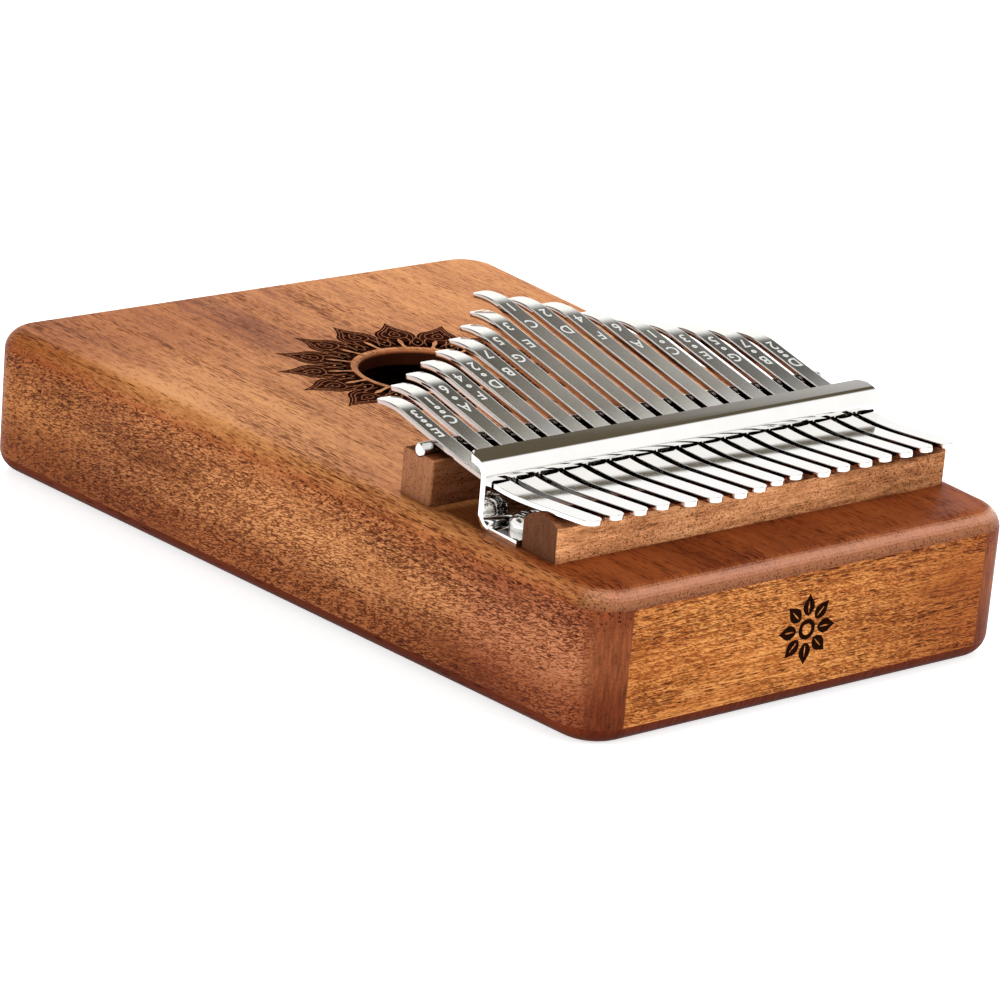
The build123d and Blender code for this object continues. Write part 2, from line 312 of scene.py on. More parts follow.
def pore_mask(net, grain, pores, crowd):
    """Dark spindles, more of them in some zones than in others."""
    a, b, c = grain
    zone = net.noise(stretched(net, grain, 0.02, 0.14))
    zone = zone.linear(0.30, 0.70, low=1.0 - crowd, high=1.0 + crowd * 0.6)
    mask = None
    for k, (length, width, size, darkness) in enumerate(pores):
        # 3.7 moves each layer of cells away from the one before
        cells = net.voronoi(net.join(a.times_plus(1.0 / length, 3.7 * k),
                                     b * (1.0 / width), c * (1.0 / width)))
        random = net.split(cells.other("Color"))
        reach = random[0].times_plus(size * 1.25, size * 0.25) * zone
        layer = (cells / reach).fade(1.15, 0.55)
        layer = layer * random[1].times_plus(0.55 * darkness, 0.45 * darkness)
        mask = layer if mask is None else mask.max(layer)
    return mask


class WoodLook:
    """What a wood's local tone and painted light may read and change."""

    def __init__(self, net, grain, normal, color, pores, coat):
        self.net = net
        self.grain = grain
        self.normal = normal
        self.place = net.split(net.coord)
        self.color = color
        self.pores = pores
        self.coat = coat

    def tint(self, amount, rgb):
        """Multiplies the colour by rgb, as far as amount says."""
        self.color = self.net.mix(amount, self.color, self.net.multiply(self.color, rgb))

    def dots(self, along, across):
        return self.net.voronoi(stretched(self.net, self.grain, along, across))


def wood(name, along, light, mid, dark,
         end=None,                  # colour across the grain, by default from mid and dark
         gain=(1, 1, 1),            # multiplies all the colours
         shift=(0, 0, 0),           # mm, moves the pattern
         span=0.22,                 # half the tone range the colours spread over
         band=0.5, band_scale=0.12,     # share of ribbon bands in the tone, bands per mm
         fibre=0.30, fleck=0.26, mottle=0.0, curl=0.0, wrinkle=0.0,  # strengths
         # layers of pores: length pitch mm, width pitch mm, size, darkness
         pores=((6.0, 0.75, 0.26, 1.0), (2.6, 0.5, 0.20, 0.6)),
         crowd=0.5, pore_color=(0.22, 0.15, 0.12),
         end_dots=0.5, streak=1.0,      # pores and streaks of the end grain
         relief=0.06,               # mm
         rough=0.45, specular=0.12, coat=0.05,
         shade=(0.004, 0.55),       # reach in metres and depth of the dark in corners
         tone_and_light=None):
    """Open-pored mahogany: slow colour drift, ribbon bands, fine fibre, dark
    spindle-shaped pores, and dotted end grain where a face turns across the
    grain. tone_and_light changes the look by place: real tone, and on some pieces painted light
    and shade."""
    net = MaterialNet(name)
    light, mid, dark = ([c * g for c, g in zip(v, gain)] for v in (light, mid, dark))
    if end is None:
        end = [0.62 * m + 0.38 * d for m, d in zip(mid, dark)]
    else:
        end = [c * g for c, g in zip(end, gain)]
    grain = grain_coords(net, along, shift)

    def layer(along_scale, across_scale, detail, rough):
        vector = stretched(net, grain, along_scale, across_scale)
        return net.noise(vector, detail=detail, rough=rough)

    drift = layer(0.012, 0.028, detail=3.0, rough=0.55)
    ribbon = layer(0.007, band_scale, detail=3.0, rough=0.6)
    fibres = layer(0.09, 3.0, detail=3.0, rough=0.65)
    flecks = layer(0.7, 4.2, detail=2.0, rough=0.6)
    tone = ribbon * band + drift * (1.0 - band)
    tone = tone + (fibres - 0.5) * fibre
    tone = tone + (flecks - 0.5) * fleck
    if mottle:
        tone = tone + (layer(0.13, 0.75, detail=3.0, rough=0.6) - 0.5) * mottle
    if curl:
        tone = tone + curl_tone(net, grain) * curl
    if wrinkle:
        tone = tone + wrinkle_tone(net, grain, wrinkle)
    color = net.ramp(tone.linear(0.5 - span, 0.5 + span),
                     [(0.0, dark), (0.5, mid), (1.0, light)])
    holes = pore_mask(net, grain, pores, crowd)

    # end grain
    normal = net.normal()
    across = abs(normal["XYZ".index(along)]).fade(0.35, 0.80)
    dots = net.voronoi(stretched(net, grain, 0.6, 1.7)).fade(0.30, 0.10)
    end_tone = net.noise(stretched(net, grain, 0.05, 1.7, 0.22), detail=4.0, rough=0.7)
    end_color = net.ramp(end_tone.linear(0.3, 0.7),
                         [(0.0, [c * (1 - 0.48 * streak) for c in end]), (0.5, end),
                          (1.0, [min(1, c * (1 + 0.5 * streak)) for c in end])])
    color = net.mix(across, color, end_color)
    holes = net.mix_float(across, holes, dots * end_dots)

    if tone_and_light is not None:
        look = WoodLook(net, grain, normal, color, holes, coat)
        tone_and_light(look)
        color, holes, coat = look.color, look.pores, look.coat

    color = net.mix(holes, color, net.multiply(color, pore_color))
    # painted shade: corners go dark, and warmer as they do
    reach, depth = shade
    open_ = net.occlusion(reach).fade(0.30, 0.95, low=depth, high=1.0)
    color = net.multiply(color, net.join(open_, open_ ** 1.15, open_ ** 1.25))
    rough = rough + (fibres - 0.5) * 0.16
    rough = rough + holes * 0.25
    bump = net.bump(fibres * 0.25 - holes, relief, strength=0.8)
    return net.surface(color, rough, normal=bump, **{
        "Coat Weight": coat, "Coat Roughness": 0.30, "Coat IOR": 1.9,
        "Specular IOR Level": specular})


def top_tone_and_painted_light(look):
    nx, ny, nz = look.normal
    x, y, z = look.place
    # rounded and sawn edge of the board, away from the sound hole: redder, darker
    dy = y - HOLE_Y * MM
    radius = (x * x + dy * dy).sqrt()
    edge = nz.fade(0.96, 0.30) * radius.fade_mm(16, 18)
    facing_minus_x = nx.fade(-0.10, -0.45)
    facing_head = ny.fade(0.05, 0.40)
    look.tint(edge, (0.94, 0.84, 0.86))
    # painted highlight: the rounded edge facing -X is lightened pink where it catches the light
    look.tint(facing_minus_x * nz.fade(0.25, 0.50) * nz.fade(0.98, 0.85), (1.26, 1.36, 1.80))
    look.tint(facing_head * edge, (0.66, 0.84, 0.95))
    look.tint(nz.fade(0.50, 0.15), (0.80, 0.66, 0.58))
    edge_dots = look.dots(0.95, 1.85).fade(0.36, 0.20)
    look.pores = look.pores.max(edge_dots * (edge * 0.95))
    # the rounded edge at the head is buffed: a strong coat, weaker over the pores, makes it
    # glossy, and a painted highlight lightens its colour
    roll = nz.fade(0.97, 0.84) * nz.fade(0.52, 0.72)
    roll = roll * ny.fade(0.05, 0.45) * y.fade_mm(20, 40)
    roll = roll * look.pores.times_plus(-0.85, 1.0)
    look.tint(roll, (1.18, 1.14, 1.16))
    look.coat = roll.times_plus(0.90, 0.02)
    # wall of the sound hole, charred and darkened further with painted shade, and the
    # underside, darkened with painted shade
    look.tint(radius.fade_mm(14.6, 14.3) * z.fade_mm(TOP - 0.35, TOP - 1.0),
              (0.085, 0.065, 0.06))
    look.tint(nz.fade(-0.3, -0.8), (0.5, 0.45, 0.45))
    # painted shade: darker towards the head, where the hardware casts its shadow, and towards
    # the tail corner at +X, which gets less light
    look.tint(y.fade_mm(38, 79) * nz.fade(0.985, 0.80).times_plus(-0.72, 1.0),
              (0.56, 0.32, 0.22))
    look.tint(x.fade_mm(-18, 34) * y.fade_mm(-34, -76), (0.72, 0.58, 0.42))
    # shaded strip under the tines
    strip = y.fade_mm(40.0, 43.0) * y.fade_mm(66.0, 63.5)
    look.tint(strip * abs(x).fade_mm(51.6, 49.8), (0.30, 0.22, 0.18))
    # pores crowd together towards the +X edge
    crowd = x.fade_mm(34, 60) * y.fade_mm(-45, 10)
    look.pores = look.pores.max(crowd * look.dots(1 / 3.4, 1 / 0.62).fade(0.36, 0.16))


def side_finish(look):
    _, y, z = look.place
    look.tint(z.fade_mm(16, 7), (0.60, 0.46, 0.40))         # foot
    look.tint(y.fade_mm(-48, -66), (0.77, 0.68, 0.54))      # tail end
    look.tint(y.fade_mm(48, 66), (0.88, 0.78, 0.90))        # head end
    look.tint(z.fade_mm(20, 27), (0.84, 0.72, 0.66))        # under the soundboard
    look.tint(y.fade_mm(-55, -15) * y.fade_mm(55, 15), (1.16, 1.22, 1.22))  # middle
    high = z.fade_mm(20, 26)
    look.pores = look.pores.max(high * look.dots(0.42, 1.3).fade(0.32, 0.18))


def head_finish(look):
    x = look.place[0]
    look.tint(x.fade_mm(0, -46), (0.56, 0.40, 0.28))
    look.tint(x.fade_mm(24, 52), (0.82, 0.72, 0.66))


def bridge_tone_and_painted_shade(look):
    net = look.net
    nx, ny, nz = look.normal
    x, y, _ = look.place
    # the rear bridge's head-side face is paler
    face = ny.fade(0.6, 0.95) * y.fade_mm(70, 74)
    look.color = net.multiply(look.color, net.mix(face, (1.0, 1.0, 1.0), (1.85, 2.10, 2.15)))
    look.tint(face * x.fade_mm(5, -45), (0.74, 0.72, 0.70))
    # its ends are dull
    look.tint(abs(nx).fade(0.6, 0.95) * y.fade_mm(55, 60), (0.35, 0.31, 0.29))
    # painted shade: the saddle block's head-side face, in shadow, and the tops of both blocks,
    # under the tines, are dark
    look.tint(ny.fade(0.6, 0.95) * y.fade_mm(45, 40), (0.55, 0.46, 0.42))
    look.tint(nz.fade(0.7, 0.98), (0.34, 0.22, 0.17))


W_TOP = wood(
    "mahogany_top", "Y", light=srgb(222, 162, 110), mid=srgb(198, 134, 84),
    dark=srgb(138, 78, 40), end=srgb(206, 140, 104), gain=(0.90, 0.80, 0.64),
    shift=(6, 0, 0), span=0.19, band=0.45, band_scale=0.13,
    fibre=0.66, fleck=0.50, mottle=0.40,
    pores=((4.2, 0.46, 0.36, 1.0), (2.2, 0.36, 0.32, 0.9), (16.0, 1.1, 0.13, 0.8)),
    crowd=0.65, pore_color=(0.24, 0.14, 0.09), streak=0.35, relief=0.035,
    specular=0.09, tone_and_light=top_tone_and_painted_light)
W_SIDE = wood(
    "mahogany_side", "Y", light=srgb(234, 172, 120), mid=srgb(194, 130, 84),
    dark=srgb(130, 74, 42), end=srgb(156, 97, 59), gain=(0.82, 0.71, 0.60),
    shift=(40, 13, 7), span=0.20, band=0.30, band_scale=0.10,
    fibre=0.46, fleck=0.50, curl=0.10, wrinkle=0.42,
    pores=((2.0, 0.36, 0.36, 1.0), (1.1, 0.27, 0.32, 0.9), (8.0, 0.7, 0.16, 1.0)),
    crowd=0.6, pore_color=(0.24, 0.14, 0.11), relief=0.16,
    specular=0.05, coat=0.015, tone_and_light=side_finish)
W_BACK = wood(
    "mahogany_back", "Y", light=srgb(142, 80, 50), mid=srgb(112, 56, 32),
    dark=srgb(72, 34, 20), end=srgb(104, 52, 34), gain=(0.98, 0.72, 0.56),
    shift=(-31, 55, 23), specular=0.02, coat=0.0)
W_PANEL = wood(
    "mahogany_panel", "X", light=srgb(246, 184, 112), mid=srgb(216, 146, 78),
    dark=srgb(160, 92, 40), gain=(0.90, 0.78, 0.69),
    shift=(11, 3, 61), span=0.20, band=0.40, band_scale=0.60,
    fibre=1.05, fleck=0.80, curl=0.16, wrinkle=0.30,
    pores=((3.6, 0.36, 0.38, 1.0), (1.3, 0.25, 0.34, 1.0)),
    crowd=0.6, pore_color=(0.17, 0.075, 0.045), relief=0.10,
    specular=0.06, coat=0.02, tone_and_light=head_finish)
W_TAIL = wood(
    "mahogany_tail_panel", "X", light=srgb(238, 168, 102), mid=srgb(204, 134, 72),
    dark=srgb(150, 84, 38), gain=(0.70, 0.61, 0.55),
    shift=(91, 3, 17), span=0.20, band=0.40, band_scale=0.40,
    fibre=0.66, fleck=0.50, curl=0.16,
    pores=((3.4, 0.44, 0.40, 1.0), (1.7, 0.30, 0.38, 1.0)),
    crowd=0.55, pore_color=(0.13, 0.055, 0.03), relief=0.10,
    specular=0.06, coat=0.02)
W_INSIDE = wood(
    "raw_inside", "X", light=srgb(150, 104, 70), mid=srgb(120, 78, 50),
    dark=srgb(88, 54, 32), shift=(5, 77, 3), rough=0.7, coat=0.0)
W_BRIDGE = wood(
    "bridge_wood", "X", light=srgb(232, 176, 130), mid=srgb(196, 136, 94),
    dark=srgb(126, 76, 48), end=srgb(156, 106, 76), gain=(1.10, 1.04, 0.98),
    shift=(3, 29, 101), band=0.35, band_scale=0.6,
    fibre=0.34, fleck=0.40, mottle=0.5, curl=0.12,
    pores=((0.64, 0.42, 0.42, 1.0), (0.42, 0.32, 0.36, 0.9)),
    crowd=0.5, pore_color=(0.26, 0.18, 0.13), end_dots=0.95, streak=0.55, relief=0.06,
    rough=0.6, specular=0.08, coat=0.0, shade=(0.010, 0.22), tone_and_light=bridge_tone_and_painted_shade)


# ------------------------------------------------------------------- steel
def flat_treatment(net, place, mm, shine, rough):
    """Satin flats with painted reflection: bright at the tip, darker just behind it,
    then opening out to the tine's own painted brightness; the tip is polished
    too. "along" is the distance from the tip in mm."""
    along = net.attribute("along")
    painted_brightness = net.attribute("tone")
    behind_tip = painted_brightness.min(1.0) * 0.60
    level = net.mix_float(along.fade(5.5, 8.5), 1.28, behind_tip)
    level = net.mix_float(along.fade(12.0, 30.0), level, painted_brightness)
    spots = net.noise(net.join(mm[0] * 2.2, mm[1] * 1.1, mm[2]), detail=4.0, rough=0.75)
    level = level * spots.linear(0.3, 0.7, low=0.93, high=1.07)
    return shine * level, net.mix_float(along.fade(4.5, 8.0), 0.05, rough), None


def flank_treatment(net, place, mm, shine, rough):
    """Edges of the tines, in painted shade: their flanks face each other, so the
    clamped tails stay dark and the free part is dimmed by its neighbour. The
    mask returned marks painted warm reflections of the wood on them."""
    x, y, _ = place
    nx = net.normal()[0]
    along = net.attribute("along")
    wall = abs(nx).fade(0.70, 0.90)
    tail = y.fade_mm(52, 55)
    dark = wall * tail * abs(x).fade_mm(48, 47)
    shine = shine * net.mix_float(dark, 1.0, y.fade_mm(60, 74, low=0.09, high=0.26))
    free = wall * (1.0 - tail)
    shine = shine * net.mix_float(free, 1.0, 0.50)
    # painted shade on the side of the tip that faces -X
    tip_side = nx.fade(-0.12, -0.40) * along.fade(9.0, 6.0)
    shine = shine * net.mix_float(tip_side, 1.0, 0.22)
    # satin rolled edges along the playing length
    satin = along.fade(5.0, 8.0) * (1.0 - wall) * (1.0 - tail)
    rough = net.mix_float(satin, rough, 0.40)
    return shine, rough, (dark * y.fade_mm(60, 72)).max(free * 0.35)


def steel(name, tone, rough,
          brushed=False,            # satin lines along Y in place of wipe marks
          smear=0.03,               # roughness added by wipe marks
          tint=(1.0, 0.985, 0.96),
          scratch=0.25,             # bump strength
          shade=(0.006, 0.12),      # reach in metres and depth of the dark in gaps
          treatment=None):
    """Polished or satin steel; tight gaps go dark with painted shade. treatment
    changes shine and roughness by place and may return a mask of painted warm
    reflections."""
    net = MaterialNet(name)
    place = net.split(net.coord)
    mm = [v * 1000.0 for v in place]
    cloud = net.noise(net.join(*mm), scale=0.16, detail=3.0, rough=0.6)
    shine = (cloud - 0.5).times_plus(0.10, tone)
    marks_scale = (9.0, 0.12, 9.0) if brushed else (0.5, 2.2, 2.2)
    marks = net.noise(net.join(*[v * k for v, k in zip(mm, marks_scale)]),
                      detail=3.0, rough=0.7)
    if brushed:
        shine = shine + (marks - 0.5) * 0.16
        rough = rough + (marks - 0.5) * 0.18
        depth_mm = 0.004
    else:
        rough = rough + marks.fade(0.45, 0.8) * smear
        depth_mm = 0.0012
    warm = None
    if treatment is not None:
        shine, rough, warm = treatment(net, place, mm, shine, rough)
    # painted shade: tight gaps go dark
    reach, depth = shade
    shine = shine * net.occlusion(reach).fade(0.12, 0.62, low=depth, high=1.0)
    color = net.join(*[shine * t for t in tint])
    # painted reflection: warm tint of the wood where the mask says
    if warm is not None:
        color = net.mix(warm, color, net.multiply(color, (1.0, 0.50, 0.34)))
    return net.surface(color, rough, 1.0, net.bump(marks, depth_mm, scratch))


STEEL = steel("polished_steel", tone=0.95, rough=0.045, shade=(0.003, 0.40))
ROD_STEEL = steel("rod_steel", tone=0.70, rough=0.12, smear=0.10)
SCREW_STEEL = steel("screw_steel", tone=0.86, rough=0.05, smear=0.05, shade=(0.005, 0.12))
TINE_FLAT = steel("tine_satin", tone=0.74, rough=0.17, brushed=True,
                  tint=(1.0, 0.985, 0.92), scratch=0.5, treatment=flat_treatment)
TINE_EDGE = steel("tine_polished", tone=0.92, rough=0.05, shade=(0.0035, 0.04),
                  treatment=flank_treatment)


# --------------------------------------------------- burnt and etched marks
def burnt(name, low, high, balance=0.5):
    """Scorched wood between the colours low and high, with a crackle; balance
    is how far the ramp's inner stops lie towards high."""
    net = MaterialNet(name)
    grain = grain_coords(net, "Y")
    fibre = net.noise(stretched(net, grain, 0.5, 2.4), detail=3.0, rough=0.7)
    soot = net.noise(stretched(net, grain, 1.3, 1.3), detail=4.0, rough=0.7)
    crackle = net.voronoi(stretched(net, grain, 1.1, 1.1), "DISTANCE_TO_EDGE")
    tone = fibre * 0.45 + soot * 0.55
    tone = tone * crackle.fade(0.0, 0.22, low=0.80, high=1.0)
    mid = tuple(a * (1 - balance) + b * balance for a, b in zip(low, high))
    below_mid = tuple(0.5 * (a + b) for a, b in zip(low, mid))
    color = net.ramp(tone.linear(0.30, 0.68),
                     [(0.0, low), (0.45, below_mid), (0.8, mid), (1.0, high)])
    return net.surface(color, 0.85, normal=net.bump(tone, 0.10, strength=0.9),
                       **{"Specular IOR Level": 0.0})


BURNT = burnt("burnt_wood", low=(0.005, 0.0014, 0.0008), high=(0.075, 0.018, 0.008),
              balance=0.6)
CHAR = burnt("charred_line", low=(0.006, 0.002, 0.001), high=(0.040, 0.014, 0.007))
SCORCH = burnt("scorched_line", low=(0.14, 0.042, 0.020), high=(0.50, 0.22, 0.11),
               balance=0.6)


def etched(name, low, high, metallic, rough):
    """Fine-grained grey between low and high, slightly yellow."""
    net = MaterialNet(name)
    # six grains to the millimetre
    speckle = net.noise(net.join(*[v * 6000.0 for v in net.split(net.coord)]), rough=0.6)
    grey = speckle.linear(0.3, 0.7, low=low, high=high)
    return net.surface(net.join(grey, grey, grey * 0.95), rough, metallic,
                       net.bump(speckle, 0.01, strength=0.6))


ETCH = etched("etched_mark", low=0.72, high=0.95, metallic=0.25, rough=0.38)
ETCH_RIM = etched("etched_rim", low=0.03, high=0.10, metallic=0.5, rough=0.45)

# -------------------------------------------------------------- CAD pieces
CAD_MATERIALS = {
    "soundboard": W_TOP,
    "back_board": W_BACK,
    "side_wall_right": W_SIDE,
    "side_wall_left": W_SIDE,
    "head_wall": W_PANEL,
    "tail_wall": W_TAIL,
    "cross_brace": W_INSIDE,
    "saddle_block": W_BRIDGE,
    "rear_bridge": W_BRIDGE,
    "saddle_rod": ROD_STEEL,
    "pressure_bracket": STEEL,
    "bracket_screws": SCREW_STEEL,
}
for node_name, material in CAD_MATERIALS.items():
    materials = nodes[node_name].data.materials
    materials.clear()
    materials.append(material)


def add_bevel(obj, width, angle):
    bevel = obj.modifiers.new("edge", "BEVEL")
    bevel.width = width * MM
    bevel.segments = 2
    bevel.limit_method = "ANGLE"
    bevel.angle_limit = math.radians(angle)
    return bevel


def soften(node_name, width, angle=32):
    """A fine worn bevel on a CAD node's hard edges."""
    obj = nodes[node_name]
    weld = obj.modifiers.new("weld", "WELD")
    weld.merge_threshold = 2e-6
    bevel = add_bevel(obj, width, angle)
    bevel.harden_normals = True
    bevel.use_clamp_overlap = True


soften("saddle_rod", 0.25)
soften("saddle_block", 0.35)
soften("rear_bridge", 0.25, angle=20)


def link_object(name, mesh):
    obj = bpy.data.objects.new(name, mesh)
    bpy.context.scene.collection.objects.link(obj)
    return obj


def new_mesh(name, verts, faces, materials, indices=None, smooth=True):
    """An object from points in millimetres; indices are material slots."""
    mesh = bpy.data.meshes.new(name)
    mesh.from_pydata([tuple(c * MM for c in v) for v in verts], [], faces)
    for material in materials:
        mesh.materials.append(material)
    if indices is not None:
        mesh.polygons.foreach_set("material_index", indices)
    mesh.polygons.foreach_set("use_smooth", [smooth] * len(mesh.polygons))
    mesh.validate()
    mesh.update()
    return link_object(name, mesh)


# -------------------------------------------------------- pressure bracket
SLOT_SIDE = 0.36                        # slot beyond the tine on each side
SLOT_Y = (52.5, 54.4)
SLOT_Z = (TOP + 7.6, TOP + 10.9)
SLOT_ROOF = 0.53                        # height of the slot's moving upper part


def nearest_tine(x):
    return min(range(len(TINES)), key=lambda i: abs(x - tine_x(i)))


def in_slot(point):
    x, y, z = (v / MM for v in point)
    return (abs(x - tine_x(nearest_tine(x))) < HALF + SLOT_SIDE
            and SLOT_Y[0] < y < SLOT_Y[1] and SLOT_Z[0] < z < SLOT_Z[1])


def slot_drop(x):
    """How far a slot's roof comes down: uneven from slot to slot, and tilted."""
    i = nearest_tine(x)
    across = (x - tine_x(i)) / HALF
    return 0.46 + 0.14 * math.sin(2.3 * i + 1) - 0.12 * across


def build_bracket():
    """The pressure bracket, its slots pressed down close over each tine."""
    mesh = nodes["pressure_bracket"].data.copy()
    mesh.name = "bracket_pressed"
    mesh.materials.clear()
    mesh.materials.append(STEEL)
    obj = link_object("bracket_pressed", mesh)
    bm = bmesh.new()
    bm.from_mesh(mesh)
    bmesh.ops.remove_doubles(bm, verts=bm.verts, dist=2e-6)
    slot_verts = [v for v in bm.verts if in_slot(v.co)]
    high = max(v.co.z for v in slot_verts)
    for v in slot_verts:
        if v.co.z > high - SLOT_ROOF * MM:
            v.co.z -= slot_drop(v.co.x / MM) * MM
    bmesh.ops.recalc_face_normals(bm, faces=bm.faces)
    bm.to_mesh(mesh)
    bm.free()
    add_bevel(obj, 0.15, 35)
    for polygon in mesh.polygons:
        polygon.use_smooth = True
    weighted = obj.modifiers.new("wn", "WEIGHTED_NORMAL")
    weighted.weight = 100
    weighted.keep_sharp = False
    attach(obj, "sound_box")
    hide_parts("pressure_bracket")


# ------------------------------------------------------------------- tines
TIP_CORNER = 1.3                        # plan radius of the tip's corners
BEVEL_STEPS = 4
POLISH_Y = 53.5                         # beyond this the flats are polished too


def clamp_height(y):
    """Height and slope of a clamped tine: cubic curves through CLAMP."""
    for (ya, za, sa), (yb, zb, sb) in zip(CLAMP, CLAMP[1:]):
        if y <= yb or yb == CLAMP[-1][0]:
            h = yb - ya
            t = (y - ya) / h
            z = ((2 * t**3 - 3 * t**2 + 1) * za + (t**3 - 2 * t**2 + t) * h * sa
                 + (-2 * t**3 + 3 * t**2) * zb + (t**3 - t**2) * h * sb)
            slope = ((6 * t**2 - 6 * t) * za / h + (3 * t**2 - 4 * t + 1) * sa
                     + (-6 * t**2 + 6 * t) * zb / h + (3 * t**2 - 2 * t) * sb)
            return z, slope


def tine_line(tip_y, tail_y):
    """(y, height, angle) down the middle of a tine, tip first."""
    rise = math.atan(SLOPE)
    radius = TIP_ARC / TIP_TURN
    arc_end_y = tip_y + radius * (math.sin(rise) - math.sin(rise - TIP_TURN))
    rod_z = CLAMP[0][1]
    arc_end_z = rod_z + (ROD_Y - arc_end_y) * SLOPE
    points = []
    steps = 20
    for k in range(steps + 1):
        a = rise - TIP_TURN * (1 - k / steps)
        points.append((arc_end_y - radius * (math.sin(rise) - math.sin(a)),
                       arc_end_z + radius * (math.cos(a) - math.cos(rise)), -a))
    steps = max(4, int((ROD_Y - arc_end_y) / 2.0))
    for k in range(1, steps + 1):
        y = arc_end_y + (ROD_Y - arc_end_y) * k / steps
        points.append((y, rod_z + (ROD_Y - y) * SLOPE, -rise))
    steps = int((tail_y - ROD_Y) / 1.3)
    for k in range(1, steps + 1):
        y = ROD_Y + (tail_y - ROD_Y) * k / steps
        z, slope = clamp_height(y)
        points.append((y, z, math.atan(slope)))
    return points


class TinePath:
    """The middle line of a tine, looked up by distance from the tip."""

    def __init__(self, tip_y, tail_y):
        self.points = tine_line(tip_y, tail_y)
        self.distances = [0.0]
        for a, b in zip(self.points, self.points[1:]):
            self.distances.append(self.distances[-1] + math.hypot(b[0] - a[0], b[1] - a[1]))
        self.length = self.distances[-1]

    def at(self, u):
        u = min(max(u, 0.0), self.length)
        last = len(self.distances) - 2
        for k in range(last + 1):
            start, end = self.distances[k:k + 2]
            if u <= end or k == last:
                f = (u - start) / (end - start)
                return tuple(p + (q - p) * f
                             for p, q in zip(self.points[k], self.points[k + 1]))

    def half_width(self, u):
        """Rounded corners at the tip, a half circle at the tail."""
        w = HALF
        if u < TIP_CORNER:
            w = HALF - TIP_CORNER + math.sqrt(max(0.0, TIP_CORNER**2 - (TIP_CORNER - u) ** 2))
        from_tail = self.length - u
        if from_tail < HALF:
            w = min(w, math.sqrt(max(0.0, HALF**2 - (HALF - from_tail) ** 2)))
        return w

    def stations(self):
        """Distances of the cross-sections: dense at both ends."""
        us = [TIP_CORNER * (1 - math.cos(math.pi / 2 * k / 8)) for k in range(9)]
        us += [u for u in self.distances
               if u > TIP_CORNER + 0.15 and u < self.length - HALF - 0.15]
        us += [self.length - HALF * (1 - math.cos(math.pi / 2 * k / 12))
               for k in range(12, -1, -1)]
        us = sorted(set(round(u, 5) for u in us))
        us[0] = 0.02
        us[-1] = self.length - 0.004
        return us


def edge_section(y, from_end):
    """(inset, height) from the lower flat to the upper one. The upper edge is
    fully rolled on the playing length, tighter on the clamped tail."""
    f = min(1.0, max(0.0, (y - 44.0) / 12.0))
    upper = 0.36 * (1 - f) + 0.16 * f
    depth = 0.48 * (1 - f) + 0.75 * f
    lower = 0.13 * (1 - f) + 0.12 * f
    angles = [math.pi / 2 * k / BEVEL_STEPS for k in range(BEVEL_STEPS + 1)]
    section = [(lower * (1 - math.sin(a)), -0.5 * THICK + lower * (1 - math.cos(a)))
               for a in angles]
    section += [(upper * (1 - math.cos(a)), 0.5 * THICK - upper * (1 - math.sin(a)) * depth)
                for a in angles]
    if from_end < upper:
        # the rolled edge goes round the two ends as well
        t = 1 - from_end / upper
        limit = 0.5 * THICK - upper * (1 - math.sqrt(max(0.0, 1 - t * t))) * depth
        section = [(inset, max(-limit, min(limit, h))) for inset, h in section]
    return section


def tine_loft(path, x0):
    """Points, faces, material slots (0 flat, 1 edge) and each point's distance
    from the tip, for a closed loft along the path."""
    verts, distances, rows = [], [], []
    for u in path.stations():
        y, z, angle = path.at(u)
        w = path.half_width(u)
        ny, nz = -math.sin(angle), math.cos(angle)
        section = edge_section(y, min(u, path.length - u))
        row = []
        for side in (1, -1):
            row.append(list(range(len(verts), len(verts) + len(section))))
            for inset, h in section:
                x = x0 + side * (w - min(inset, w * 0.98))
                verts.append((x, y + ny * h, TOP + z + nz * h))
                distances.append(u)
        rows.append(row)

    faces, slots = [], []
    for a, b in zip(rows, rows[1:]):
        for side in (0, 1):
            for k in range(len(a[side]) - 1):
                quad = [a[side][k], a[side][k + 1], b[side][k + 1], b[side][k]]
                if side == 1:
                    quad.reverse()
                faces.append(quad)
                slots.append(1)
        # upper and lower flats
        faces.append([a[0][-1], a[1][-1], b[1][-1], b[0][-1]])
        faces.append([a[1][0], a[0][0], b[0][0], b[1][0]])
        slots += [0, 0]
    first, last = rows[0], rows[-1]
    faces.append(first[0] + first[1][::-1])
    faces.append(last[0][::-1] + last[1])
    slots += [1, 1]
    return verts, faces, slots, distances


def build_tine(i, path, tone):
    verts, faces, slots, distances = tine_loft(path, tine_x(i))
    obj = new_mesh("tine_strip_%02d" % (i + 1), verts, faces, [TINE_FLAT, TINE_EDGE], slots)
    mesh = obj.data
    # tone is the flat's painted brightness, standing in for the light it reflects
    for key, values in (("along", distances), ("tone", [tone] * len(distances))):
        attribute = mesh.attributes.new(key, "FLOAT", "POINT")
        attribute.data.foreach_set("value", values)
    bm = bmesh.new()
    bm.from_mesh(mesh)
    bmesh.ops.remove_doubles(bm, verts=bm.verts, dist=1e-7)
    bmesh.ops.recalc_face_normals(bm, faces=bm.faces)
    bm.to_mesh(mesh)
    bm.free()
    for polygon in mesh.polygons:
        if polygon.material_index == 0 and polygon.center.y > POLISH_Y * MM:
            polygon.material_index = 1
    weighted = obj.modifiers.new("wn", "WEIGHTED_NORMAL")
    weighted.keep_sharp = True
    weighted.weight = 90
    node_name = "tine_%02d" % (i + 1)
    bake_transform(obj)
    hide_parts(node_name)


